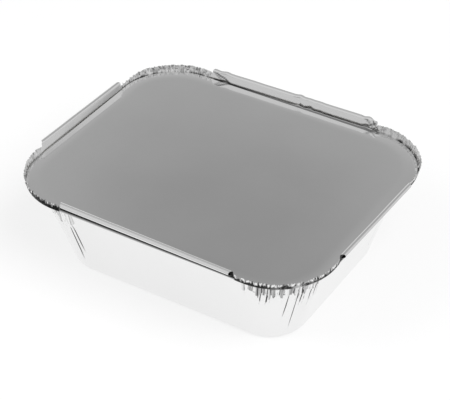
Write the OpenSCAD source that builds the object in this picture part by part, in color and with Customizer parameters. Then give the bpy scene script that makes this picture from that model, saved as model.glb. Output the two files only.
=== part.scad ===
// Foil food container with its lid.
// A tray pressed from one sheet of aluminium foil has a raised floor panel, sloping walls, a flat
// ledge and a rim that stands upright round it. Along the four sides the rim is a flange rolled
// outwards into a hollow curl. Round the corners it is lower, and ruffled, and the foil below it
// is gathered into pleats and long flutes. A flat board lid lies on the ledge inside the rim.
// Millimetres. The origin is the centre of the foot, +Z is up and X runs along the long side.

/* [Overall size] */
// Length across the curls
rim_l = 142; // [128:1:200]
// Width across the curls
rim_w = 117; // [104:1:180]
// Height from the foot to the top of the curls
height = 44; // [34:1:60]

/* [Tray] */
// Thickness of the foil
foil_t = 0.08; // [0.06:0.01:0.14]
// Slope of the walls away from upright, in degrees
wall_draft = 15; // [8:1:18]
// Corner radius of the rim in plan
rim_corner_r = 25.5; // [22:0.5:28]
// Corner radius of the foot in plan
foot_corner_r = 16; // [14:0.5:19]
// Radius of the bend from the foot into the walls
heel_r = 3; // [1.5:0.5:4]
// Width of the flat ring that the tray stands on
foot_ring_w = 6; // [4:0.5:7]
// Height of the raised floor panel above the foot
panel_h = 1.2; // [0.6:0.1:2]
// Width of the sloping step from the foot ring up to the panel
panel_step_w = 1.5; // [1:0.1:2]
// Radius of the bend from the walls into the ledge
mouth_r = 0.8; // [0.5:0.1:1.2]
// Width of the ledge, from the wall to the rim
ledge_w = 5; // [4:0.5:7]

/* [Rim] */
// Height of the side flanges above the ledge, with their curl
flange_h = 4.7; // [4:0.1:6]
// Lean of the rim outwards, in degrees
rim_lean = 3; // [1:1:6]
// Radius of the fold between the ledge and the rim
fold_r = 0.4; // [0.3:0.1:0.6]
// Outer diameter of the curl
curl_d = 2; // [1.4:0.1:2.4]
// Angle that the curl is rolled through, in degrees
curl_angle = 310; // [270:10:330]
// Straight length of ruffled rim between the end of a flange and the bend of the corner
flange_end_gap = 3.6; // [2:0.2:6]
// Height of the ruffled corners above the ledge
ruffle_h = 3; // [2.4:0.1:3.4]

/* [Pleats] */
// Number of pleats round each corner
pleats = 24; // [16:4:28]
// Depth of the ruffles along the edge of a corner
ruffle_d = 0.6; // [0.3:0.05:0.8]
// How far the edge of a corner flares outwards beyond the lean of the rim
ruffle_flare = 0.8; // [0:0.1:0.9]
// Depth of the pleats in the wall just under the ledge
pleat_d = 0.35; // [0.2:0.05:0.5]
// Length of those pleats down the wall
pleat_l = 10; // [4:0.5:12]
// Height of the step at the lower end of each pleat, where it meets the plain wall
pleat_step_h = 1; // [0.5:0.1:1.5]
// Depth of the long flutes that run down each corner of the wall
flute_d = 0.55; // [0.2:0.05:0.7]

/* [Lid] */
// Thickness of the lid board
lid_t = 0.5; // [0.4:0.1:0.9]
// Clearance between the edge of the lid and the fold of the rim
lid_gap = 0.2; // [0.1:0.05:0.5]

/* [Hidden] */

// Heights of the ledge: its upper face, which carries the lid, and its underside
ledge_z = height - flange_h;
under_z = ledge_z - foil_t;

// An inset is how far a line of the section lies inside the overall size, on every side alike.
// The curl's centre and the top of the upright part, where the curl begins
curl_r = curl_d / 2 - foil_t;
curl_inset = curl_d / 2;
curl_z = height - curl_d / 2;
top_inset = curl_inset + curl_r * cos(rim_lean);
top_z = curl_z + curl_r * sin(rim_lean);
// Where the planes of the rim, ledge, wall and foot would meet if their bends were sharp
rim_inset = top_inset + (top_z - under_z) * tan(rim_lean);
mouth_inset = rim_inset + ledge_w;
foot_inset = mouth_inset + under_z * tan(wall_draft);

// Length of the tangent from a sharp corner to the start of a bend of radius r through an angle
function tangent(r, turn) = r * tan(turn / 2);
fold_tangent = tangent(fold_r, 90 - rim_lean);
mouth_tangent = tangent(mouth_r, 90 - wall_draft);
heel_tangent = tangent(heel_r, 90 - wall_draft);

// Corner radius in plan at a place in the section: it grows from the foot up to the mouth, and
// follows as a parallel curve whatever lies further in or out at the same height
mouth_corner_r = rim_corner_r - ledge_w;
function share_up(z) = min(1, max(0, z / under_z));
function corner_r(inset, z) =
    foot_corner_r + (mouth_corner_r - foot_corner_r) * share_up(z)
    + foot_inset + (mouth_inset - foot_inset) * share_up(z) - inset;

// Stations round a corner: half a pleat apart on the rim, from the end of a long flange to the
// end of a short one. Below the pleats only every fourth station is needed.
cells = 2 * pleats;
coarse_steps = 4;
straight_x = rim_l / 2 - rim_inset - rim_corner_r;
straight_y = rim_w / 2 - rim_inset - rim_corner_r;
arc_l = rim_corner_r * PI / 2;
zone_l = arc_l + 2 * flange_end_gap;

// Plan position of station i in the +X +Y quarter, on the outline at that inset
function plan(i, inset, r) =
    let (
        s = i * zone_l / cells,
        left = zone_l - s,
        cx = rim_l / 2 - inset - r,
        cy = rim_w / 2 - inset - r,
        turn = (s - flange_end_gap) / arc_l * 90
    )
    s < flange_end_gap ? [cx * (straight_x - flange_end_gap + s) / straight_x, cy + r]
    : left < flange_end_gap ? [cx + r, cy * (straight_y - flange_end_gap + left) / straight_y]
    : [cx + r * sin(turn), cy + r * cos(turn)];

// Pleats: every odd station is a crest. Crests differ a little, and die out at the flanges.
crest_size = rands(0.45, 1, 4 * (cells + 1), 7);
function fade(i) = min(1, i / 4, (cells - i) / 4);
function crest(q, i) = i % 2 == 1 ? fade(i) * crest_size[q * (cells + 1) + i] : 0;
// Flutes: a crease at every other one of the coarse stations, with straight flanks between
function flute(i) = 1 - abs(i % (2 * coarse_steps) - coarse_steps) / coarse_steps;

// The section of the sheet, as rows from the floor panel out to the edge of the corners. Each row
// is [inset, z, normal, ruffle, pleat, flute, stride]: the normal is that of the outer face in
// the plane of the section, and the shares say how much of each gather the row takes.
function down() = [0, -1];
function tilted(turn) = [sin(turn), -cos(turn)];
heel_steps = 3;
heel_turn = 90 - wall_draft;
wall_normal = tilted(heel_turn);
rim_normal = tilted(90 - rim_lean);
function wall_inset(z) = foot_inset - z * tan(wall_draft);
pleat_end_z = under_z - pleat_l;
ring_inset = foot_inset + heel_tangent + foot_ring_w;

section = [
    [ring_inset + panel_step_w, panel_h, down(), 0, 0, 0, coarse_steps],
    [ring_inset, 0, down(), 0, 0, 0, coarse_steps],
    for (k = [0 : heel_steps])
        let (turn = heel_turn * k / heel_steps)
        [foot_inset + heel_tangent - heel_r * sin(turn), heel_r * (1 - cos(turn)),
         tilted(turn), 0, 0, 0, coarse_steps],
    for (share = [0.33, 0.66])
        let (z = pleat_end_z * share)
        [wall_inset(z), z, wall_normal, 0, 0, share, coarse_steps],
    for (step = [0, 1])
        let (z = pleat_end_z + step * pleat_step_h)
        [wall_inset(z), z, wall_normal, 0, 0.8 * step, 1, 1],
    for (share = [1, 0])
        let (turn = heel_turn * share, z = under_z - mouth_r * (1 - cos(turn)))
        [mouth_inset - mouth_tangent + mouth_r * sin(turn), z, tilted(turn),
         0, share == 1 ? 1 : 0.6, share == 1 ? 0.5 : 0, 1],
    [rim_inset + fold_tangent, under_z, down(), 0, 0.25, 0, 1],
    for (share = [0.5, 1])
        let (turn = (90 - rim_lean) * share)
        [rim_inset + fold_tangent - fold_r * sin(turn), under_z + fold_r * (1 - cos(turn)),
         tilted(turn), 0, 0, 0, 1],
    for (share = [0.45, 1])
        let (z = under_z + fold_r + (ruffle_h + foil_t - fold_r) * share)
        [rim_inset - (z - under_z) * tan(rim_lean), z, rim_normal, share, 0, 0, 1]
];
rows = len(section);
edge_row = rows - 1;

// The side flanges carry the section on from the height of the corners and roll it outwards
curl_steps = 14;
curl_tuck = 0.2;
function rolled(turn) = [-cos(rim_lean + turn), sin(rim_lean + turn)];
flange_section = [
    for (k = [0 : curl_steps])
        let (
            turn = curl_angle * k / curl_steps,
            out = rolled(turn),
            r = curl_r * (1 - curl_tuck * max(0, turn - 180) / 180)
        )
        [curl_inset - r * out[0], curl_z + r * out[1], -out]
];
flange_rows = len(flange_section);

// A point of row r at station i of quarter q, on the outer face (skin 0) or the inner one (1).
// Pleats press the wall inwards and the ledge down, and ruffles push the rim outwards.
function signs(q) = [q == 0 || q == 3 ? 1 : -1, q < 2 ? 1 : -1];
function sheet_point(row, q, i, skin) =
    let (
        normal = row[2],
        gather = crest(q, i),
        ruffle = row[3] * (ruffle_d * gather + ruffle_flare * fade(i)),
        pleat = row[4] * pleat_d * gather,
        crease = row[5] * flute_d * flute(i) * fade(i),
        z = row[1] - skin * foil_t * normal[1],
        still = row[0] + skin * foil_t * normal[0],
        inset = still - ruffle + (pleat + crease) * max(0, normal[0]),
        place = plan(i, inset, corner_r(inset, z))
    )
    [place[0] * signs(q)[0], place[1] * signs(q)[1], z - (row[3] == 0 ? pleat * 0.7 : 0)];

// Station of the k-th point of a quarter, going round the tray against the clock
function station(q, k) = q % 2 == 0 ? cells - k : k;

function row_points(row, skin) = [
    for (q = [0 : 3])
        for (k = [0 : row[6] : cells])
            sheet_point(row, q, station(q, k), skin)
];
function per_quarter(row) = cells / row[6] + 1;
function row_size(row) = 4 * per_quarter(row);
row_start = [
    for (r = 0, start = 0; r <= rows; start = start + (r < rows ? row_size(section[r]) : 0), r = r + 1)
        start
];
skin_size = row_start[rows];

// A point of a flange: side 0 is its first end going round, and side 1 the other
function flange_point(q, j, side, skin) =
    let (
        row = flange_section[j],
        normal = row[2],
        inset = row[0] + skin * foil_t * normal[0],
        z = row[1] - skin * foil_t * normal[1],
        next = (q + 1) % 4,
        home = side == 0 ? q : next,
        i = side == 0 ? station(q, cells) : station(next, 0),
        place = plan(i, inset, corner_r(inset, z))
    )
    [place[0] * signs(home)[0], place[1] * signs(home)[1], z];

// Index of the k-th point of quarter q in a row, and of a flange's point, where row 0 is the
// corner's edge row that the flange grows from
function ring_at(skin, r, q, k) = skin * skin_size + row_start[r] + q * per_quarter(section[r]) + k;
function flange_at(skin, q, j, side) =
    j == 0
        ? (side == 0 ? ring_at(skin, edge_row, q, cells) : ring_at(skin, edge_row, (q + 1) % 4, 0))
        : 2 * skin_size + ((skin * 4 + q) * flange_rows + j - 1) * 2 + side;

// Two triangles over the quad a b c d, seen from outside with a at its lower left, and turned
// over on the inner face
function quad(a, b, c, d, skin) =
    skin == 0 ? [[a, d, c], [a, c, b]] : [[a, c, d], [a, b, c]];
function tri(a, b, c, skin) = skin == 0 ? [[a, c, b]] : [[a, b, c]];

// The strip between two rows over one quarter and the flange cell after it
function strip(skin, r, q) =
    let (
        n = per_quarter(section[r]) - 1,
        m = per_quarter(section[r + 1]) - 1,
        next = (q + 1) % 4,
        half = coarse_steps / 2
    )
    concat(
        n == m
            ? [for (k = [0 : n - 1])
                each quad(ring_at(skin, r, q, k), ring_at(skin, r, q, k + 1),
                          ring_at(skin, r + 1, q, k + 1), ring_at(skin, r + 1, q, k), skin)]
            : [for (k = [0 : n - 1])
                let (a = ring_at(skin, r, q, k), b = a + 1, f = ring_at(skin, r + 1, q, k * coarse_steps))
                each concat(
                    [for (g = [0 : half - 1]) each tri(a, f + g + 1, f + g, skin)],
                    tri(a, b, f + half, skin),
                    [for (g = [half : coarse_steps - 1]) each tri(b, f + g + 1, f + g, skin)]
                )],
        quad(ring_at(skin, r, q, n), ring_at(skin, r, next, 0),
             ring_at(skin, r + 1, next, 0), ring_at(skin, r + 1, q, m), skin)
    );

// A band that closes the raw edge of the sheet between its two faces
function raw_edge(outer_a, outer_b, inner_a, inner_b) =
    [[outer_a, inner_a, inner_b], [outer_a, inner_b, outer_b]];

function flange_faces(q) = concat(
    [for (skin = [0, 1])
        for (j = [0 : flange_rows - 1])
            each quad(flange_at(skin, q, j, 0), flange_at(skin, q, j, 1),
                      flange_at(skin, q, j + 1, 1), flange_at(skin, q, j + 1, 0), skin)],
    [for (j = [0 : flange_rows - 1])
        each raw_edge(flange_at(0, q, j, 0), flange_at(0, q, j + 1, 0),
                      flange_at(1, q, j, 0), flange_at(1, q, j + 1, 0))],
    [for (j = [0 : flange_rows - 1])
        each raw_edge(flange_at(0, q, j + 1, 1), flange_at(0, q, j, 1),
                      flange_at(1, q, j + 1, 1), flange_at(1, q, j, 1))],
    raw_edge(flange_at(0, q, flange_rows, 0), flange_at(0, q, flange_rows, 1),
             flange_at(1, q, flange_rows, 0), flange_at(1, q, flange_rows, 1))
);

module container() {
    points = concat(
        [for (skin = [0, 1]) for (row = section) each row_points(row, skin)],
        [for (skin = [0, 1]) for (q = [0 : 3]) for (j = [0 : flange_rows - 1]) for (side = [0, 1])
            flange_point(q, j, side, skin)]
    );
    floor_n = row_size(section[0]);
    faces = concat(
        [[for (k = [0 : floor_n - 1]) k]],
        [[for (k = [floor_n - 1 : -1 : 0]) skin_size + k]],
        [for (skin = [0, 1]) for (r = [0 : rows - 2]) for (q = [0 : 3]) each strip(skin, r, q)],
        [for (q = [0 : 3]) for (k = [0 : cells - 1])
            each raw_edge(ring_at(0, edge_row, q, k), ring_at(0, edge_row, q, k + 1),
                          ring_at(1, edge_row, q, k), ring_at(1, edge_row, q, k + 1))],
        [for (q = [0 : 3]) each flange_faces(q)]
    );
    color("silver")
        polyhedron(points = points, faces = faces, convexity = 12);
}

// The lid follows the rim as a parallel curve, just clear of the fold at its foot
lid_inset = rim_inset + fold_tangent + lid_gap;
lid_corner_r = rim_corner_r + rim_inset - lid_inset;
lid_arc_steps = 18;

module lid() {
    cx = rim_l / 2 - lid_inset - lid_corner_r;
    cy = rim_w / 2 - lid_inset - lid_corner_r;
    outline = [
        for (q = [0 : 3])
            for (k = [0 : lid_arc_steps])
                let (turn = 90 * (q + k / lid_arc_steps))
                [signs(q)[0] * cx + lid_corner_r * cos(turn),
                 signs(q)[1] * cy + lid_corner_r * sin(turn)]
    ];
    color("darkgray")
        translate([0, 0, ledge_z])
            linear_extrude(lid_t)
                polygon(outline);
}

container();
lid();
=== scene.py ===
"""A takeaway tray pressed from aluminium foil, with its foil-faced board lid lying in the rim."""

import math

import bpy
import numpy as np
from mathutils import Matrix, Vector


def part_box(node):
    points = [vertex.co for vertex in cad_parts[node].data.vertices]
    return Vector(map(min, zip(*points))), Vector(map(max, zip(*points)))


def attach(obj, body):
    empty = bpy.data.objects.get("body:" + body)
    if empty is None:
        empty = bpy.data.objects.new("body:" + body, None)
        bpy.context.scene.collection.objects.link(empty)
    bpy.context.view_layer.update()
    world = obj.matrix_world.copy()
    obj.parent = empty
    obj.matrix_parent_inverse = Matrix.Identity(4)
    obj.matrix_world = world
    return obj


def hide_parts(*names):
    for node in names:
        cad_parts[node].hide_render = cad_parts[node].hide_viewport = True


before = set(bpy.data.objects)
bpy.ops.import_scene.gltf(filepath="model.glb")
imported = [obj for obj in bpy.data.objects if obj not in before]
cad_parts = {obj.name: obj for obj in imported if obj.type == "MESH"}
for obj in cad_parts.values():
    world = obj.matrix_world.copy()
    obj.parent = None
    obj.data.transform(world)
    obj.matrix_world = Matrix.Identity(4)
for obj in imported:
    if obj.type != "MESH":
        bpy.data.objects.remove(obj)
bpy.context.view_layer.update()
scene = bpy.context.scene
mm = 0.001

# The camera
# A long lens looks down at the tray's front corner, from the photograph's angle. It stands level
# and square to the room, and the room is turned a little from the tray's own front.
room_turn = math.radians(31.69)
camera_tilt = math.radians(36.75)
camera_place = (301.6 * mm, -486.4 * mm, 452.4 * mm)
camera_data = bpy.data.cameras.new("camera")
camera_data.sensor_width = 36.0
camera_data.lens = 140.0
camera_data.clip_start = 10 * mm
camera_data.clip_end = 20.0
camera = bpy.data.objects.new("camera", camera_data)


def stand(piece, place, back):
    """Stand a piece level at a place, with its back turned the given way."""
    back = np.array(back) / np.linalg.norm(back)
    sideways = np.cross((0.0, 0.0, 1.0), back)
    sideways /= np.linalg.norm(sideways)
    upright = np.cross(back, sideways)
    axes = [[sideways[i], upright[i], back[i], place[i]] for i in range(3)]
    piece.matrix_world = Matrix(axes + [[0.0, 0.0, 0.0, 1.0]])


stand(camera, camera_place, (
    math.sin(room_turn) * math.cos(camera_tilt),
    -math.cos(room_turn) * math.cos(camera_tilt),
    math.sin(camera_tilt)))
scene.collection.objects.link(camera)
scene.camera = camera

# The tray
# One sheet of thin aluminium foil, pressed between two dies. The corners gather into pleats and
# creases as the walls are drawn down, and the rim's four flanges are rolled into hollow curls.
tray_low, tray_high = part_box("container")
rim_l = tray_high.x - tray_low.x
rim_w = tray_high.y - tray_low.y
tray_h = tray_high.z

foil_t = 0.08 * mm
rim_corner_r = 25.5 * mm
foot_corner_r = 16 * mm
wall_draft = math.radians(15)
heel_r = 3 * mm
foot_ring_w = 6 * mm
panel_h = 1.2 * mm
panel_step_w = 1.5 * mm
mouth_r = 0.8 * mm
ledge_w = 5 * mm
fold_r = 0.4 * mm
rim_lean = math.radians(3)
flange_h = 4.7 * mm
flange_end_gap = 3.6 * mm
ruffle_h = 3 * mm
curl_d = 2 * mm
curl_angle = math.radians(310)
curl_tuck = 0.2
curl_steps = 24
pleat_l = 10 * mm
pleat_step_h = 0.35 * mm
hair = 0.001 * mm

ledge_z = tray_h - flange_h
under_z = ledge_z - foil_t
edge_z = ledge_z + ruffle_h
curl_r = curl_d / 2 - foil_t
curl_inset = curl_d / 2
curl_z = tray_h - curl_d / 2
top_inset = curl_inset + curl_r * math.cos(rim_lean)
top_z = curl_z + curl_r * math.sin(rim_lean)
rim_inset = top_inset + (top_z - under_z) * math.tan(rim_lean)
mouth_inset = rim_inset + ledge_w
foot_inset = mouth_inset + under_z * math.tan(wall_draft)
mouth_corner_r = rim_corner_r - ledge_w
heel_turn = math.pi / 2 - wall_draft
fold_turn = math.pi / 2 - rim_lean
heel_in = foot_inset + heel_r * math.tan(heel_turn / 2)
ring_inset = heel_in + foot_ring_w
mouth_out = mouth_inset - mouth_r * math.tan(heel_turn / 2)
fold_in = rim_inset + fold_r * math.tan(fold_turn / 2)
wall_low = heel_r * (1 - math.cos(heel_turn))
wall_high = under_z - mouth_r * (1 - math.cos(heel_turn))
pleat_end = wall_high - pleat_l

# The cross-section, from the floor panel out to the end of the curl. Each row has its inset from
# the overall outline, its height on the outer face, and the turn of that face: 0 looks down and
# 90 degrees looks outwards. Rows are closer where the foil bends.
section = []
for share in (1.0, 0.7, 0.3, 0.0):
    eased = share * share * (3 - 2 * share)
    section.append((ring_inset + panel_step_w * share, panel_h * eased, 0.0))
for share in (0.33, 0.66):
    section.append((ring_inset - foot_ring_w * share, 0.0, 0.0))
for turn in np.linspace(0, heel_turn, 7):
    section.append((heel_in - heel_r * math.sin(turn), heel_r * (1 - math.cos(turn)), turn))
for z in (*np.linspace(wall_low, pleat_end - 1.5 * mm, 12)[1:],
          pleat_end - 0.75 * mm, pleat_end, pleat_end + pleat_step_h,
          *np.linspace(pleat_end + 0.8 * mm, wall_high, 9)[:-1]):
    section.append((foot_inset - z * math.tan(wall_draft), z, heel_turn))
for turn in heel_turn * np.array([1.0, 0.6, 0.25, 0.0]):
    section.append((mouth_out + mouth_r * math.sin(turn),
                    under_z - mouth_r * (1 - math.cos(turn)), turn))
for share in (0.25, 0.5, 0.75):
    section.append((mouth_out + (fold_in - mouth_out) * share, under_z, 0.0))
for turn in np.linspace(0, fold_turn, 5):
    section.append((fold_in - fold_r * math.sin(turn),
                    under_z + fold_r * (1 - math.cos(turn)), turn))
for z in (*np.linspace(under_z + fold_r, edge_z, 7)[1:], (edge_z + top_z) / 2, top_z):
    section.append((rim_inset - (z - under_z) * math.tan(rim_lean), z, fold_turn))
edge_row = len(section) - 3
curl_turns = np.linspace(0, curl_angle, curl_steps + 1)[1:]
for turn in curl_turns:
    r = curl_r * (1 - curl_tuck * max(0.0, turn - math.pi) / math.pi)
    out, over = math.cos(rim_lean + turn), math.sin(rim_lean + turn)
    section.append((curl_inset + r * out, curl_z + r * over, math.atan2(out, over)))
row_inset, row_z, row_turn = np.array(section).T[:, :, None]
normal_out, normal_up = np.sin(row_turn), -np.cos(row_turn)
rows = len(section)
row_k = np.arange(rows)[:, None]
past_edge = row_k > edge_row
on_wall = (row_z > wall_low) & (row_turn > heel_turn - 0.01) & (row_z < under_z)

# Lengths run round the rim against the clock, from the near end of the +X side. Flange 0 stands on
# the +X side, 1 on +Y, 2 on -X and 3 on -Y. Each corner comes after the flange of its number, and
# its gathers start at the end of that flange and stop at the start of the next.
straights = (rim_w / 2 - rim_inset - rim_corner_r, rim_l / 2 - rim_inset - rim_corner_r)
arc_l = rim_corner_r * math.pi / 2
side_from = [k * arc_l + 2 * sum(straights[j % 2] for j in range(k)) for k in range(4)]
flange_from = [side + flange_end_gap for side in side_from]
corner_from = [side_from[k] + 2 * straights[k % 2] - flange_end_gap for k in range(4)]
corner_l = arc_l + 2 * flange_end_gap
round_rim = side_from[3] + 2 * straights[1] + arc_l


def share_of(value, none_at, full_at):
    """How far a value has come from one mark to another, from 0 to 1."""
    return np.clip((value - none_at) / (full_at - none_at), 0, 1)


def away_from(place, run):
    """How far each place of a run round the rim is from one place, the short way round."""
    return (run - place + round_rim / 2) % round_rim - round_rim / 2


def bell(away, width):
    """A soft swelling of height 1."""
    return np.exp(-(away / width) ** 2)


# Fold lines across each corner: crests and valleys by turns, of chance width and depth, with two
# finer lines between. Each line has its place, its depth as a gather and as a finer line, its
# tilt, the shifts of its lower end and of the edge, its lean, the painted shade of its pleats, and
# the painted shade of a ruffle facet beside it and from what height. A flange has plain lines that
# are flat.
rng = np.random.default_rng(11)
folds_each = 44
lines = []
for k in range(4):
    widths = rng.uniform(0.35, 1.65, folds_each)
    ends = np.cumsum(widths) / widths.sum() * corner_l
    heights = rng.uniform(0.3, 1, folds_each) * np.where(np.arange(folds_each) % 2, 1, -1)
    heights[-1] = 0
    before, height = 0.0, 0.0
    for j in range(folds_each):
        tilt, end, edge, lean = rng.uniform(-1, 1, 4)
        painted_pleat_shade = max(0.0, rng.uniform(-0.6, 0.7))
        for share in (1 / 3, 2 / 3, 1):
            if share < 1:
                finer = math.copysign(rng.uniform(0.3, 1), (share - 0.5) * (height - heights[j]))
                painted_line_shade, ragged = painted_pleat_shade, rng.uniform(-0.6, 0.6)
            else:
                finer, painted_line_shade, ragged = 0.0, painted_pleat_shade * 0.6, edge
            facet = rng.uniform(0.45, 1) * (rng.random() < 0.45)
            if share < 1 or j < folds_each - 1:
                lines.append((corner_from[k] + before + (ends[j] - before) * share,
                              height + (heights[j] - height) * share, finer, tilt, end, ragged,
                              lean * share, painted_line_shade, facet, rng.uniform(0, 0.6)))
        before, height = ends[j], heights[j]
for k, spacing in enumerate((1.6 * mm, 0.8 * mm, 1.6 * mm, 1.6 * mm)):
    flange_l = corner_from[k] - flange_from[k]
    for place in np.linspace(0, flange_l, round(flange_l / spacing) + 1):
        lines.append((flange_from[k] + place, *[0.0] * 9))
lines = np.array(sorted(lines))

# A few valleys run on down the wall as long creases. Each has its corner, its place along that
# corner at its upper and at its lower end, the height of its lower end, and its width.
creases = np.array((
    (3, 9.5, 9.2, 24, 0.5), (3, 13.5, 12.8, 23, 0.6), (3, 24.1, 22.1, 13.5, 0.6),
    (3, 30.5, 28.4, 5, 0.8), (3, 33, 32.8, 20.5, 1.3), (3, 35.4, 35.3, 22, 0.9),
    (3, 37.6, 37.5, 19.5, 1.6), (3, 40.2, 40.1, 22, 0.8), (3, 42.4, 42.4, 20, 1.5),
    (3, 44.6, 44.6, 22, 1.1), (2, 45, 46.5, 11, 1), (2, 42.6, 39.8, 5.5, 1.1),
    (0, 1.9, 0.6, 10.5, 0.6), (0, 20, 21.5, 16, 0.6), (1, 15, 17, 12, 0.7), (1, 29, 27.5, 7, 0.7)))
creases[:, 1:] *= mm
crease_across = (-0.3, 0, 0.45, 0.8)
crease_form = (0, 1, 1, 0)
crease_depth = 0.4 * mm
crease_top = pleat_end + mm
crease_reach = 5 * mm
crease_at = []
for k, high, low, low_z, wide in creases:
    valleys = np.flatnonzero(lines[:, 1] < -0.3)
    nearest = np.abs(lines[valleys, 0] - corner_from[int(k)] - high).argmin()
    crease_at.append(lines[valleys[nearest], 0])
    for across in crease_across:
        if across != 0:
            place = crease_at[-1] + across * wide
            beside = [np.interp(place, lines[:, 0], column) for column in lines.T]
            lines = np.vstack([lines, beside])
            lines = lines[lines[:, 0].argsort()]
at, gather, minor, tilt, end_shift, edge_shift, lean, painted_pleat_shade, facet, facet_from = lines.T
count = len(at)
into = (at - np.array(corner_from)[:, None]) % round_rim
past_start = (at - np.array(flange_from)[:, None]) % round_rim
before_end = (np.array(corner_from)[:, None] - at) % round_rim
along_corner = into.min(axis=0)
in_corner = (along_corner > 1e-9) & (along_corner < corner_l - 1e-9)
in_flange = ~in_corner
from_flange = np.where(in_corner, np.minimum(along_corner, corner_l - along_corner), 0)
fade = share_of(from_flange, 0, 2.2 * mm)
gather = gather * fade
minor = minor * fade

# How far down the wall, across the ledge and up the ruffle each gather goes. The pleats stop short
# in the wall with a step, and their ends and the ruffle's edge are ragged.
pleat_depth, fine_pleat_depth, pleat_sink = 0.42 * mm, 0.13 * mm, 0.3 * mm
pleat_lean, pleat_tilt = 0.26 * mm, 0.24 * mm
ledge_gather, fine_ledge_gather = 0.12 * mm, 0.05 * mm
ragged_ends, ragged_reach, ragged_edge = 1.5 * mm, 4 * mm, 0.35 * mm
pleat_share = share_of(row_z, pleat_end, pleat_end + pleat_step_h) * (row_z < under_z) \
    * share_of(normal_out, 0, math.sin(heel_turn)) ** 3
up_pleat = share_of(row_z, pleat_end, wall_high)
ledge_share = (np.abs(row_z - under_z) < hair) & ~past_edge
ruffle_share = share_of(row_z, under_z, edge_z) * ~past_edge
push = pleat_share * (pleat_depth * gather + fine_pleat_depth * minor - pleat_sink * fade
                      + (pleat_lean + pleat_tilt * tilt) * fade * (1 - 2 * up_pleat))
push += ledge_share * (ledge_gather * (gather - fade) + fine_ledge_gather * minor)
z = row_z + ragged_ends * end_shift * fade * share_of(np.abs(row_z - pleat_end), ragged_reach, 0) \
    + ragged_edge * edge_shift * fade * ruffle_share ** 3

# The ruffle leans out, most in the back corner, and its lips nod. It is tight and upright behind
# the far end of the +X flange, calmer towards the +Y one, and low and ragged towards the -X one.
ruffle_lean, ruffle_depth, fine_ruffle_depth = 0.75 * mm, 0.36 * mm, 0.3 * mm
back_ruffle_lean, nod_from = 0.7 * mm, 0.45
tight_l, slack_from, tight_share = 9 * mm, 17 * mm, 0.1
calm_from, calm_l, calm_share = 22 * mm, 14 * mm, 0.6
slump_l, slump_h, slump_lean = 17 * mm, 0.8 * mm, 0.65 * mm
slump_gather, fine_slump_gather = 0.45 * mm, 0.25 * mm
slack = np.maximum(share_of(into[0], tight_l, slack_from), tight_share)
calm = share_of(corner_l - into[0], calm_from, calm_l) * (into[0] < corner_l)
slump = share_of(corner_l - into[1], slump_l, 0) * (into[1] < corner_l)
back_lean = np.sin(np.clip(into[1] / corner_l, 0, 1) * math.pi) ** 0.7 * (1 - slump)
nod = rng.uniform(-0.75, 0.25, count) * mm * fade * slack
z -= slump * ruffle_share ** 2 \
    * (slump_h * fade - slump_gather * gather - fine_slump_gather * minor)
ruffle_wave = ruffle_depth * gather + fine_ruffle_depth * minor * ruffle_share
push += ruffle_share * slack * (
    (ruffle_lean - slump_lean * slump) * fade + (1 - calm_share * calm) * ruffle_wave)
push += np.maximum(ruffle_share - nod_from, 0) * nod
push += back_ruffle_lean * ruffle_share * back_lean

# The lines slant as they go down, and each long crease takes its neighbours with it
along = at + lean * fade * mm * (0.55 * pleat_share * (0.5 - up_pleat) + 0.25 * ruffle_share)
groove = np.zeros((rows, count))
for (k, high, low, low_z, wide), start in zip(creases, crease_at):
    down = share_of(row_z, crease_top, low_z)
    away = away_from(start, at)
    along += (low - high) * down * share_of(np.abs(away), crease_reach, 0)
    groove = np.maximum(groove, np.interp(away / wide, crease_across, crease_form)
                        * (row_z > wall_low) * (down < 1)
                        * np.clip(1.2 - np.abs(2 * down - 0.9), 0, 1) ** 0.5)
push -= groove * (1 - pleat_share) * on_wall * crease_depth

# The curls end in a slanted cut, further back on the outside
cut_slant, cut_reach = 1.1 * mm, 4 * mm
curl_turn = np.zeros((rows, 1))
curl_turn[-curl_steps:, 0] = curl_turns
end_cut = cut_slant * (share_of(past_start, cut_reach, 0) - share_of(before_end, cut_reach, 0))
along += end_cut.sum(axis=0) * (1 - np.cos(curl_turn)) / 2

# Wide soft flutes in the corners of the wall, and shallow dents from pressing and handling
flutes_each, flute_depth = 6.5, 0.13 * mm
dents = 70
flutes = np.sin(along_corner / corner_l * 2 * math.pi * flutes_each + 0.6)
push += on_wall * flutes * share_of(from_flange, 0, 5 * mm) * flute_depth \
    * (row_z / under_z) ** 1.5 * (1 - 0.6 * pleat_share)
for _ in range(dents):
    spot, spot_z = rng.uniform(0, round_rim), rng.uniform(6, 33) * mm
    wide, tall = rng.uniform(3, 9, 2) * mm
    push += on_wall * rng.uniform(-0.1, 0.07) * mm * bell(away_from(spot, along), wide) \
        * bell(row_z - spot_z, tall) * share_of(row_z, wall_low, wall_low + 3 * mm)


def quarter(k):
    """The cosine and sine of k quarter turns."""
    return round(math.cos(k * math.pi / 2)), round(math.sin(k * math.pi / 2))


def outline(run):
    """The way that the sheet faces round the rim, and where its corner's centre lies.

    The centre's place is given in shares of its distance from the tray's own centre.
    """
    run = run % round_rim
    faces = np.zeros((2, *run.shape))
    centres = np.zeros((2, *run.shape))
    for k in range(4):
        half = straights[k % 2]
        here = (run >= side_from[k]) & (run < side_from[k] + 2 * half + arc_l)
        share = np.minimum((run[here] - side_from[k]) / half - 1, 1)
        turn = np.maximum((run[here] - side_from[k] - 2 * half) / rim_corner_r, 0) + k * math.pi / 2
        c, s = quarter(k)
        faces[:, here] = np.cos(turn), np.sin(turn)
        centres[:, here] = c - s * share, s + c * share
    return faces, centres


(face_x, face_y), (centre_x, centre_y) = outline(along)
up_share = share_of(row_z, 0, under_z)
corner_r = foot_corner_r + (mouth_corner_r - foot_corner_r) * up_share \
    + foot_inset + (mouth_inset - foot_inset) * up_share - row_inset

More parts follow.
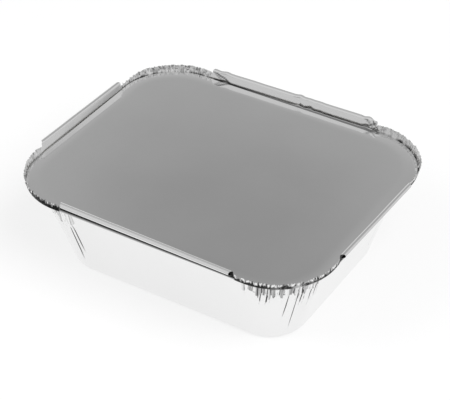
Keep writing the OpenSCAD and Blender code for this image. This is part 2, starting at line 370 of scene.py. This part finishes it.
# The flanges were bent a little in or out as the tray was handled. Each has its offset at its
# start and at its end, for the fold at its foot and for its curl. The +Y one was pushed well out
# at its +X end, and has kinks, with their place from its middle, depth and width in millimetres.
foot_offsets = (0, 0.2, 1.7, 0, -0.2, 0.2, 0, 0)
curl_offsets = (-0.3, 0.5, 0.4, 0.1, -0.75, 0.5, -1.4, 0)
foot_kinks = ((-2.7, 0.4, 1.4), (-7.5, 0.5, 1.6), (-12, 0.2, 2), (-34.5, 0.5, 1.2),
              (33.5, 0.5, 1.6))
curl_kinks = ((-2.7, 0.3, 1.5), (-7.5, -0.3, 1.6), (-36.2, 0.4, 1.3), (-33.6, -0.45, 1.2),
              (-38.6, -0.6, 1.0), (21, 0.12, 4), (36, -0.35, 1.5))
soft_bends = 40
flange_ends = np.array([flange_from, corner_from]).T.reshape(-1)
back_middle = side_from[1] + straights[1]
foot_bend, curl_bend = [
    np.interp(along, flange_ends, np.array(offsets) * mm, period=round_rim)
    for offsets in (foot_offsets, curl_offsets)]
for bend, kinks in ((foot_bend, foot_kinks), (curl_bend, curl_kinks)):
    for place, depth, wide in kinks:
        bend += depth * mm * bell(along - back_middle - place * mm, wide * mm)
for _ in range(soft_bends):
    away = away_from(rng.uniform(0, round_rim), along)
    curl_bend += rng.uniform(-0.07, 0.07) * mm * bell(away, rng.uniform(2, 7) * mm)
out_share = share_of(row_inset, mouth_out, fold_in) * (row_z > wall_high)
out_share = np.maximum(out_share, row_z > under_z + hair)
bend = foot_bend * out_share + curl_bend * share_of(row_z, ledge_z, tray_h) ** 0.8

# Two ends are crushed flat: the near one of the -X flange and the +X one of the +Y flange, whose
# foil has folded to and fro along slanting lines
for from_end, length, flat in ((before_end[2], 1.3 * mm, 0.8), (past_start[1], 5 * mm, 0.7)):
    bend -= flat * np.clip(1.2 - from_end / length, 0, 1) * (top_inset - row_inset) * past_edge
for slant, wide, depth in ((0.9, 2.3 * mm, 0.32 * mm), (-0.8, 3.1 * mm, 0.25 * mm)):
    zigzag = np.abs((past_start[1] + slant * (row_z - ledge_z)) / wide % 2 - 1) * 2 - 1
    bend += depth * zigzag * np.clip(1.2 - past_start[1] / (7 * mm), 0, 1) \
        * share_of(row_z, ledge_z + 0.5 * mm, ledge_z + 1.5 * mm)

# The mesh is both skins of the sheet, closed along the edge and at the ends of the flanges
skins = []
for depth in (0.0, foil_t):
    reach = corner_r + (push - depth) * normal_out + bend
    skins.append(np.stack([
        (rim_l / 2 - row_inset - corner_r) * centre_x + face_x * reach,
        (rim_w / 2 - row_inset - corner_r) * centre_y + face_y * reach,
        z + (push - depth) * normal_up,
    ], axis=2))
points = np.concatenate([skin.reshape(-1, 3) for skin in skins])


def at_point(skin, row, k):
    """The number of a point on one skin of the sheet."""
    return (skin * rows + row) * count + k % count


quads = []
for row in range(rows - 1):
    for k in range(count):
        standing = in_flange[k] and in_flange[(k + 1) % count]
        if row < edge_row or standing:
            outer = [at_point(0, row, k), at_point(0, row, k + 1),
                     at_point(0, row + 1, k + 1), at_point(0, row + 1, k)]
            quads.append(outer)
            quads.append([v + rows * count for v in reversed(outer)])
        if row == rows - 2 and standing or row == edge_row and not standing:
            top = rows - 1 if standing else edge_row
            quads.append([at_point(0, top, k), at_point(0, top, k + 1),
                          at_point(1, top, k + 1), at_point(1, top, k)])
        if row >= edge_row and standing:
            for end, beyond in ((k, k - 1), (k + 1, k + 2)):
                if not in_flange[beyond % count]:
                    side = [at_point(0, row, end), at_point(0, row + 1, end),
                            at_point(1, row + 1, end), at_point(1, row, end)]
                    quads.append(side if beyond < end else side[::-1])
quads.append([at_point(0, 0, k) for k in reversed(range(count))])
quads.append([at_point(1, 0, k) for k in range(count)])
used = np.zeros(len(points), bool)
used[[v for quad in quads for v in quad]] = True
renumbered = (np.cumsum(used) - 1).tolist()
tray_mesh = bpy.data.meshes.new("tray")
tray_mesh.from_pydata(points[used].tolist(), [], [[renumbered[v] for v in quad] for quad in quads])
tray_mesh.shade_smooth()
tray_mesh.set_sharp_from_angle(angle=math.radians(14))
tray = bpy.data.objects.new("tray", tray_mesh)
scene.collection.objects.link(tray)
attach(tray, "root")
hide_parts("container")

# Creases get painted shade: dark lines along the valleys of either skin, fainter on the inner one
inner_line, calm_line = 0.6, 0.35
gathered = pleat_share + np.minimum(1, ruffle_share * 1.6)
outer_painted_crease = np.maximum(groove * on_wall, np.maximum(0, -gather) ** 0.5 * gathered)
inner_painted_crease = (inner_line - calm_line * calm) * np.maximum(0, gather) ** 0.5 * gathered

# Hollows get painted shade, dark where little light gets in, and a shade of 1 is black. On the
# outer skin it is painted on some pleats, on facets of the ruffle, under the ledge, as a line at
# the ruffle's foot, and inside and under the curls.
facet_shade, facet_soft = 0.9, 0.125
ledge_shade, ledge_shade_h, top_shade_share = 0.85, 6 * mm, 0.4
foot_line_h, foot_line_soft, foot_line_broken = 2.1 * mm, 0.25 * mm, 0.6
under_curl_h, under_curl_soft = 0.35 * mm, 0.6 * mm
patch_l, flange_reach = 1.8 * mm, 0.6 * mm
back_flange = in_flange & (past_start[1] < corner_from[1] - flange_from[1])
left_corner = into[2] < corner_l
patch_at = np.arange(0, round_rim, patch_l)
patch = np.clip(np.interp(at, patch_at, rng.uniform(-0.4, 1.3, len(patch_at))), 0, 1)
shade_z = under_z - ledge_shade_h - 0.6 * mm * edge_shift
foot_line_z = under_z + foot_line_h + (0.9 * edge_shift + 0.3 * left_corner) * mm
under_curl_z = ledge_z + under_curl_h
broken = foot_line_broken * (1 - patch) * bell(from_flange - corner_l / 2, 7 * mm)
painted_pleat_shades = painted_pleat_shade * fade * pleat_share
outer_painted_shade = painted_pleat_shades + facet_shade * facet * fade * (ruffle_share > 0) \
    * share_of(slack, 0.5, 1) * share_of(ruffle_share, facet_from, facet_from + facet_soft)
outer_painted_shade += ledge_shade * fade * on_wall * share_of(row_z, shade_z, shade_z + 0.5 * mm) \
    * np.maximum(share_of(row_z, shade_z + ledge_shade_h, shade_z + mm), top_shade_share)
outer_painted_shade += share_of(from_flange, 0, flange_reach) * (1 - broken) \
    * (row_z > under_z - hair) * ~past_edge \
    * share_of(row_z, foot_line_z, foot_line_z - foot_line_soft)
outer_painted_shade += in_flange * (row_k <= edge_row + 2) \
    * share_of(row_z, under_curl_z, under_curl_z + under_curl_soft)
outer_painted_shade += row_k > edge_row + 1

# On the inner skin the shade is painted on the facets, in the seam between rim and lid, in patches
# along the corners, on the strip of ledge that shows where the +Y flange was pushed out, on the
# tucked end of the curl, and along slanting folds at the two ends of the +Y flange
inner_facet_shade, left_facet_less, calm_facet_less, calm_shade = 0.6, 0.35, 0.3, 0.12
strip_w, strip_shade, strip_fold_shade = 1.5 * mm, 0.64, 0.5
seam_low, back_seam_more, patch_seam_more = 0.4 * mm, 0.55 * mm, 0.6 * mm
seam_shade, back_seam_shade, corner_seam_shade, left_seam_less = 0.05, 0.9, 0.85, 0.5
curl_end_shade, curl_end_rows = 0.85, 6
pushed = np.clip(foot_bend / mm - 0.3, 0, 2) * share_of(from_flange, 2 * mm, 0) \
    * np.clip(past_start[1] / (6 * mm), 0.15, 1)
by_fold = (np.abs(row_inset - fold_in) < strip_w) & (row_z > wall_high) \
    & (row_z < under_z + fold_r / 2)
strip_dark = np.where(row_turn > 0.05, strip_fold_shade, strip_shade)
seam_h = seam_low + back_seam_more * back_flange + patch_seam_more * patch * fade
flange_seam = (seam_shade + back_seam_shade * back_flange) * (1 - np.minimum(1.5 * pushed, 1))
corner_seam = (corner_seam_shade - left_seam_less * left_corner) * patch
seam_dark = np.where(in_flange, flange_seam, corner_seam)
facet_dark = (inner_facet_shade - left_facet_less * left_corner - calm_facet_less * calm) * facet
inner_painted_shade = painted_pleat_shades + facet_dark * fade * (ruffle_share > 0) \
    * share_of(ruffle_share, 0.85 - facet_from, 0.65 - facet_from)
inner_painted_shade += calm_shade * calm * fade * (ruffle_share > 0)
inner_painted_shade += strip_dark * np.minimum(2 * pushed, 1) * by_fold
inner_painted_shade += seam_dark * (row_z > under_z + hair) * ~past_edge \
    * share_of(row_z - under_z, 1.1 * seam_h, 0.6 * seam_h)
inner_painted_shade += curl_end_shade * past_edge * share_of(row_k, rows - curl_end_rows, rows - 2)
for from_end, slant, start, dark in (
        (before_end[1], 1.9, 8.5 * mm, 1.0), (before_end[1], 1.3, 5 * mm, 0.5),
        (past_start[1], 1.6, 5.5 * mm, 0.4), (past_start[1], -1.1, 1.5 * mm, 0.45)):
    off_line = np.abs(from_end + slant * (row_z - ledge_z - 0.5 * mm) - start)
    inner_painted_shade += dark * share_of(off_line, 0.96 * mm, 0.36 * mm) * in_flange \
        * (row_z > ledge_z + 0.5 * mm) * (row_k <= edge_row + 2)
# The painted shade of the creases and of the hollows is kept on the points of both skins
for name, on_skins in (("crease", (outer_painted_crease, inner_painted_crease)),
                       ("hollow", (outer_painted_shade, inner_painted_shade))):
    amount = np.clip(np.stack(on_skins), 0, 1).reshape(-1)[used]
    layer = tray_mesh.attributes.new(name, "FLOAT", "POINT")
    layer.data.foreach_set("value", amount.astype(np.float32))


def feed(tree, node, feeds):
    """Feed each named input of a node from a socket, or set it to a fixed value."""
    for name, value in feeds.items():
        if isinstance(value, bpy.types.NodeSocket):
            tree.links.new(value, node.inputs[name])
        else:
            node.inputs[name].default_value = value
    return node


def add_node(tree, kind, feeds, **settings):
    """Add a shader node with its settings and what feeds it."""
    node = tree.nodes.new("ShaderNode" + kind)
    for name, value in settings.items():
        setattr(node, name, value)
    return feed(tree, node, feeds)


def new_group(name, inlets, outlets):
    """A shader node group with named values going in and coming out."""
    group = bpy.data.node_groups.new(name, "ShaderNodeTree")
    for inlet, value in inlets.items():
        socket = group.interface.new_socket(inlet, in_out="INPUT", socket_type="NodeSocketFloat")
        socket.default_value = value
    for outlet in outlets:
        group.interface.new_socket(outlet, in_out="OUTPUT", socket_type="NodeSocketFloat")
    return group, group.nodes.new("NodeGroupInput").outputs, group.nodes.new("NodeGroupOutput")


# Foil carries fine lines along the way it was rolled, which run with the tray's length
rolled_lines, rolled_in, rolled_out = new_group(
    "rolled_lines", {"Lines Per Metre": 6000.0, "Length": 30.0}, ["Lines"])
rolled_place = add_node(rolled_lines, "TexCoord", {})
fewer = add_node(rolled_lines, "Math", {0: rolled_in["Lines Per Metre"], 1: rolled_in["Length"]},
                 operation="DIVIDE")
stretch = add_node(rolled_lines, "CombineXYZ", {
    "X": fewer.outputs[0], "Y": rolled_in["Lines Per Metre"], "Z": rolled_in["Lines Per Metre"]})
stretched = add_node(rolled_lines, "VectorMath", {
    0: rolled_place.outputs["Object"], 1: stretch.outputs[0]}, operation="MULTIPLY")
streaks = add_node(rolled_lines, "TexNoise", {
    "Vector": stretched.outputs[0], "Scale": 1.0, "Detail": 3.0})
feed(rolled_lines, rolled_out, {"Lines": streaks.outputs["Fac"]})

# Handling leaves dull smudges of chance size, and dents too shallow to see but for their gloss
handling, handling_in, handling_out = new_group(
    "handling", {"Smudge Size": 20 * mm, "Dent Size": 4 * mm}, ["Smudges", "Dents"])
handling_place = add_node(handling, "TexCoord", {})
for name, size, detail in (("Smudges", "Smudge Size", 4.0), ("Dents", "Dent Size", 1.0)):
    per_metre = add_node(handling, "Math", {0: 1.0, 1: handling_in[size]}, operation="DIVIDE")
    patches = add_node(handling, "TexNoise", {
        "Vector": handling_place.outputs["Object"], "Scale": per_metre.outputs[0],
        "Detail": detail})
    feed(handling, handling_out, {name: patches.outputs["Fac"]})


def grey(level):
    """A grey of the given level."""
    return (level, level, level, 1)


def new_finish(name):
    """A new material, with its node tree and its shader."""
    finish = bpy.data.materials.new(name)
    finish.use_nodes = True
    return finish, finish.node_tree, finish.node_tree.nodes["Principled BSDF"]


# Bright foil, painted black as shade in its creases and hollows, and duller there and in its
# smudges
foil, foil_tree, foil_shader = new_finish("bright_foil")
foil_lines = add_node(foil_tree, "Group", {"Lines Per Metre": 5000.0, "Length": 40.0},
                      node_tree=rolled_lines)
foil_marks = add_node(foil_tree, "Group", {"Smudge Size": 14 * mm, "Dent Size": 3.5 * mm},
                      node_tree=handling)
foil_painted_crease = add_node(foil_tree, "Attribute", {}, attribute_name="crease")
foil_painted_shade = add_node(foil_tree, "Attribute", {}, attribute_name="hollow")
crease_line = add_node(foil_tree, "MapRange", {
    "Value": foil_painted_crease.outputs["Fac"], "From Min": 0.35, "From Max": 0.85,
    "To Min": 0.0, "To Max": 0.9}, interpolation_type="SMOOTHSTEP")
foil_dark = add_node(foil_tree, "Math", {
    0: crease_line.outputs["Result"], 1: foil_painted_shade.outputs["Fac"]}, operation="MAXIMUM")
foil_colour = add_node(foil_tree, "Mix", {
    "Factor": foil_dark.outputs[0], "A": grey(0.89), "B": grey(0.02)}, data_type="RGBA")
foil_smudges = add_node(foil_tree, "MapRange", {
    "Value": foil_marks.outputs["Smudges"], "From Min": 0.35, "From Max": 0.7,
    "To Min": 0.09, "To Max": 0.18})
foil_dull = add_node(foil_tree, "Math", {
    0: foil_dark.outputs[0], 1: 0.35, 2: foil_smudges.outputs["Result"]},
    operation="MULTIPLY_ADD")
foil_dents = add_node(foil_tree, "Bump", {
    "Strength": 0.5, "Distance": 0.05 * mm, "Height": foil_marks.outputs["Dents"]})
foil_grain = add_node(foil_tree, "Bump", {
    "Strength": 0.3, "Distance": 0.006 * mm, "Height": foil_lines.outputs["Lines"],
    "Normal": foil_dents.outputs["Normal"]})
feed(foil_tree, foil_shader, {
    "Metallic": 1.0, "Base Color": foil_colour.outputs["Result"],
    "Roughness": foil_dull.outputs[0], "Normal": foil_grain.outputs["Normal"]})
tray_mesh.materials.append(foil)

# The lid
# A flat piece of board with aluminium foil laid on its upper face, die-cut to the rim's shape.
# It lies loose on the ledge and is held once the flanges are folded over its edge.
lid_low, lid_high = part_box("lid")
lid_t = lid_high.z - lid_low.z
lid_corner_r = rim_corner_r + rim_inset - (rim_l / 2 - lid_high.x)
lid_across_x = lid_high.x - lid_corner_r
lid_across_y = lid_high.y - lid_corner_r
cut_round = 0.12 * mm
lid_bow = 0.12 * mm
lid_wave = 0.03 * mm
edge_dip = 0.2 * mm
edge_dip_w = 5.5 * mm

# Each ring of the lid has its size as a share of the outline, its inset and its height. The rings
# go over the underside, round the cut edge and in over the foil.
lid_under = [(share, 0.0, 0.0) for share in (0.15, 0.35, 0.55, 0.72, 0.86, 0.95)]
lid_edge = [
    (1.0, cut_round, 0.0), (1.0, cut_round * 0.3, cut_round * 0.3), (1.0, 0.0, cut_round),
    (1.0, 0.02 * mm, lid_t / 2), (1.0, 0.0, lid_t - cut_round * 0.8),
    (1.0, cut_round * 0.35, lid_t - cut_round * 0.25), (1.0, cut_round * 1.3, lid_t)]
lid_face = [(share, 0.0, lid_t) for share in (
    0.99, 0.975, 0.96, 0.945, 0.93, 0.915, 0.9, 0.88, 0.85, 0.8, 0.7, 0.55, 0.35, 0.15)]
lid_section = lid_under + lid_edge + lid_face
lid_way = []
for k in range(4):
    c, s = quarter(k)
    for share in np.linspace(-1, 1, 25)[:-1]:
        lid_way.append((lid_across_x * (c - s * share), lid_across_y * (s + c * share), c, s))
    for turn in np.linspace(0, math.pi / 2, 33)[:-1] + k * math.pi / 2:
        lid_way.append((lid_across_x * (c - s), lid_across_y * (s + c),
                        math.cos(turn), math.sin(turn)))
lid_way = np.array(lid_way)
lid_count = len(lid_way)
lid_points = []
for share, inset, z_at in lid_section:
    x = share * (lid_way[:, 0] + lid_way[:, 2] * (lid_corner_r - inset))
    y = share * (lid_way[:, 1] + lid_way[:, 3] * (lid_corner_r - inset))
    bow = lid_bow * (1 - (x / lid_high.x) ** 2) * (1 - (y / lid_high.y) ** 2)
    wave = np.sin(x / (13 * mm) + 0.7) * np.sin(y / (17 * mm) + 0.4) * (1 - share ** 4)
    past_x = np.maximum(np.abs(x) - lid_across_x, 0)
    past_y = np.maximum(np.abs(y) - lid_across_y, 0)
    dip = share_of(lid_corner_r - np.hypot(past_x, past_y), edge_dip_w, 0) ** 2
    rise = bow + lid_wave * wave + edge_dip * (1 - dip)
    lid_points.append(np.stack([x, y, lid_low.z + z_at + rise], axis=1))
lid_faces = [list(reversed(range(lid_count)))]
for ring in range(len(lid_section) - 1):
    for k in range(lid_count):
        after = (k + 1) % lid_count
        low, high = ring * lid_count, (ring + 1) * lid_count
        lid_faces.append([low + k, low + after, high + after, high + k])
lid_faces.append([(len(lid_section) - 1) * lid_count + k for k in range(lid_count)])
lid_mesh = bpy.data.meshes.new("board_lid")
lid_mesh.from_pydata(np.concatenate(lid_points).tolist(), [], lid_faces)
lid_mesh.shade_smooth()
lid_mesh.set_sharp_from_angle(angle=math.radians(50))
board_lid = bpy.data.objects.new("board_lid", lid_mesh)
scene.collection.objects.link(board_lid)
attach(board_lid, "root")
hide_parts("lid")

# Satin foil, with broad smudges and a fine grain
lid_foil, lid_tree, lid_shader = new_finish("satin_lid_foil")
lid_lines = add_node(lid_tree, "Group", {"Lines Per Metre": 2500.0, "Length": 60.0},
                     node_tree=rolled_lines)
lid_marks = add_node(lid_tree, "Group", {"Smudge Size": 30 * mm, "Dent Size": 2.2 * mm},
                     node_tree=handling)
lid_tone = add_node(lid_tree, "Mix", {
    "Factor": lid_marks.outputs["Smudges"], "A": grey(0.84), "B": grey(0.9)}, data_type="RGBA")
lid_dull = add_node(lid_tree, "MapRange", {
    "Value": lid_marks.outputs["Smudges"], "From Min": 0.1, "From Max": 0.9,
    "To Min": 0.06, "To Max": 0.11}, interpolation_type="SMOOTHSTEP")
lid_dents = add_node(lid_tree, "Bump", {
    "Strength": 0.3, "Distance": 0.01 * mm, "Height": lid_marks.outputs["Dents"]})
lid_grain = add_node(lid_tree, "Bump", {
    "Strength": 0.25, "Distance": 0.005 * mm, "Height": lid_lines.outputs["Lines"],
    "Normal": lid_dents.outputs["Normal"]})
feed(lid_tree, lid_shader, {
    "Metallic": 1.0, "Base Color": lid_tone.outputs["Result"],
    "Roughness": lid_dull.outputs["Result"], "Normal": lid_grain.outputs["Normal"]})

# The board shows at the cut edge and on the underside: pressed paper fibre, plain and dull
board, board_tree, board_shader = new_finish("lid_board_fibre")
board_place = add_node(board_tree, "TexCoord", {})
board_fibre = add_node(board_tree, "TexNoise", {
    "Vector": board_place.outputs["Object"], "Scale": 900.0, "Detail": 6.0})
board_tone = add_node(board_tree, "Mix", {
    "Factor": board_fibre.outputs["Fac"], "A": (0.6, 0.59, 0.57, 1), "B": (0.76, 0.75, 0.73, 1)},
    data_type="RGBA")
board_relief = add_node(board_tree, "Bump", {
    "Strength": 0.4, "Distance": 0.03 * mm, "Height": board_fibre.outputs["Fac"]})
feed(board_tree, board_shader, {
    "Base Color": board_tone.outputs["Result"], "Roughness": 0.85,
    "Normal": board_relief.outputs["Normal"]})
lid_mesh.materials.append(lid_foil)
lid_mesh.materials.append(board)
foil_ring = len(lid_under) + len(lid_edge) - 2
for face_at, polygon in enumerate(lid_mesh.polygons):
    polygon.material_index = 1 if face_at <= foil_ring * lid_count else 0

# The floor
# A plain white floor with the tray's own soft shadow on it. In the foil it shows a painted glow,
# brightest beside the tray and greyer further out, like a table that is lit from above, and dark
# far out towards the room's front.
floor_reach = 8.0
floor_mesh = bpy.data.meshes.new("floor")
floor_mesh.from_pydata(
    [(-floor_reach, -floor_reach, 0), (floor_reach, -floor_reach, 0),
     (floor_reach, floor_reach, 0), (-floor_reach, floor_reach, 0)], [], [(0, 1, 2, 3)])
floor = bpy.data.objects.new("floor", floor_mesh)
scene.collection.objects.link(floor)
floor_paint, floor_tree, floor_shader = new_finish("white_floor")
feed(floor_tree, floor_shader, {
    "Base Color": grey(0.85), "Roughness": 0.9, "Specular IOR Level": 0.0})


def grade(tree, way, levels):
    """A ramp of greys along a value, through the given places and levels."""
    ramp = add_node(tree, "ValToRGB", {"Fac": way})
    while len(ramp.color_ramp.elements) < len(levels):
        ramp.color_ramp.elements.new(0.5)
    for element, (place_at, level) in zip(ramp.color_ramp.elements, levels):
        element.position = place_at
        element.color = grey(level)
    return ramp.outputs["Color"]


def front_share(tree, way, low, high):
    """How far a way, taken level, turns to the front of the room, from 0 to 1."""
    level_way = add_node(tree, "VectorMath", {0: way, 1: (1.0, 1.0, 0.0)}, operation="MULTIPLY")
    unit = add_node(tree, "VectorMath", {0: level_way.outputs[0]}, operation="NORMALIZE")
    facing = add_node(tree, "VectorMath", {
        0: unit.outputs[0], 1: (math.sin(room_turn), -math.cos(room_turn), 0.0)},
        operation="DOT_PRODUCT")
    share = add_node(tree, "MapRange", {
        "Value": facing.outputs["Value"], "From Min": low, "From Max": high},
        interpolation_type="SMOOTHSTEP")
    return share.outputs["Result"]


# How far the floor is from the outline of the foot, as a share of 2 m and through its square
# root, so that the near part of the ramp is fine. The levels are by distance in metres.
far_off = 2.0
floor_levels = ((0.025, 0.97), (0.045, 0.95), (0.062, 0.58), (far_off, 0.6))
floor_gap_levels = ((0.15, 0.0), (0.4, 1.0))
gap_from, gap_full = 0.6, 0.9
foot_centre = (rim_l / 2 - foot_inset - foot_corner_r, rim_w / 2 - foot_inset - foot_corner_r, 0)
floor_place = add_node(floor_tree, "NewGeometry", {}).outputs["Position"]
floor_way = floor_place
for operation, value in (("ABSOLUTE", None), ("SUBTRACT", foot_centre), ("MAXIMUM", (0, 0, 0))):
    feeds = {0: floor_way} if value is None else {0: floor_way, 1: value}
    floor_way = add_node(floor_tree, "VectorMath", feeds, operation=operation).outputs[0]
floor_way = add_node(floor_tree, "VectorMath", {0: floor_way}, operation="LENGTH").outputs["Value"]
for operation, value in (("SUBTRACT", foot_corner_r), ("DIVIDE", far_off), ("SQRT", 0.0)):
    floor_way = add_node(floor_tree, "Math", {0: floor_way, 1: value},
                         operation=operation).outputs[0]
floor_tone = grade(floor_tree, floor_way, [
    (math.sqrt(far / far_off), level) for far, level in floor_levels])
floor_gap = grade(floor_tree, floor_way, [
    (math.sqrt(far / far_off), level) for far, level in floor_gap_levels])
gap_share = add_node(floor_tree, "Math", {
    0: front_share(floor_tree, floor_place, gap_from, gap_full), 1: floor_gap},
    operation="MULTIPLY")
floor_mirror = add_node(floor_tree, "Mix", {
    "Factor": gap_share.outputs[0], "A": floor_tone, "B": grey(0.1)}, data_type="RGBA")

# The floor glows a little where it is seen directly and in the foil, so that it stays white
floor_path = add_node(floor_tree, "LightPath", {})
floor_out = floor_shader.outputs[0]
for ray, glow_share, glow_colour in (
        ("Is Camera Ray", 0.7, grey(1.0)), ("Is Glossy Ray", 0.85, floor_mirror.outputs["Result"])):
    share = add_node(floor_tree, "Math", {0: floor_path.outputs[ray], 1: glow_share},
                     operation="MULTIPLY")
    glow = add_node(floor_tree, "Emission", {"Color": glow_colour})
    floor_out = add_node(floor_tree, "MixShader", {
        0: share.outputs[0], 1: floor_out, 2: glow.outputs[0]}).outputs[0]
feed(floor_tree, floor_tree.nodes["Material Output"], {"Surface": floor_out})
floor_mesh.materials.append(floor_paint)

# The room and the lamps
# A pale grey room that shows only in the foil, with a darker back and a black gap low down at its
# front. Seen directly it is white. Two wide soft lamps light the floor and stay out of the foil.
room = bpy.data.worlds.new("room")
scene.world = room
room.use_nodes = True
room_tree = room.node_tree
room_way = add_node(room_tree, "TexCoord", {}).outputs["Generated"]
room_height = add_node(room_tree, "SeparateXYZ", {0: room_way}).outputs["Z"]
room_back = grade(room_tree, room_height, (
    (0.0, 0.97), (0.36, 0.95), (0.47, 0.48), (0.52, 0.43), (0.59, 0.33), (0.65, 0.31),
    (0.72, 0.34), (0.8, 0.5), (1.0, 0.52)))
room_front = grade(room_tree, room_height, (
    (0.0, 0.62), (0.35, 0.7), (0.65, 0.7), (0.85, 0.6), (1.0, 0.5)))
room_gap = grade(room_tree, room_height, ((0.09, 0.85), (0.2, 0.0)))

# The back is a little lighter on either side of its middle
sideways = add_node(room_tree, "VectorMath", {
    0: room_way, 1: (math.cos(room_turn), math.sin(room_turn), 0.0)}, operation="DOT_PRODUCT")
off_middle = add_node(room_tree, "Math", {0: sideways.outputs["Value"]}, operation="ABSOLUTE")
side_share = add_node(room_tree, "MapRange", {
    "Value": off_middle.outputs[0], "From Min": 0.03, "From Max": 0.13, "To Max": 0.45},
    interpolation_type="SMOOTHSTEP")
room_sides = add_node(room_tree, "Mix", {
    "Factor": side_share.outputs["Result"], "A": room_back, "B": grey(0.5)}, data_type="RGBA")
room_round = add_node(room_tree, "Mix", {
    "Factor": front_share(room_tree, room_way, -0.6, -0.2), "A": room_sides.outputs["Result"],
    "B": room_front}, data_type="RGBA")
gap_share = add_node(room_tree, "Math", {
    0: room_gap, 1: front_share(room_tree, room_way, gap_from, gap_full)},
    operation="MULTIPLY")
room_dark = add_node(room_tree, "Mix", {
    "Factor": gap_share.outputs[0], "A": room_round.outputs["Result"], "B": grey(0.02)},
    data_type="RGBA")
room_path = add_node(room_tree, "LightPath", {})
room_seen = add_node(room_tree, "Mix", {
    "Factor": room_path.outputs["Is Camera Ray"], "A": room_dark.outputs["Result"],
    "B": grey(1.0)}, data_type="RGBA")
feed(room_tree, room_tree.nodes["Background"], {"Color": room_seen.outputs["Result"]})

for name, lamp_place, lamp_size, power in (
        ("key", (0.9, -0.2, 1.2), 0.9, 16.0), ("fill", (-0.9, -0.9, 1.1), 0.9, 9.0)):
    lamp_data = bpy.data.lights.new(name, "AREA")
    lamp_data.shape = "SQUARE"
    lamp_data.size = lamp_size
    lamp_data.energy = power
    lamp = bpy.data.objects.new(name, lamp_data)
    lamp.visible_glossy = False
    stand(lamp, lamp_place, lamp_place)
    scene.collection.objects.link(lamp)

scene.view_settings.view_transform = "Standard"
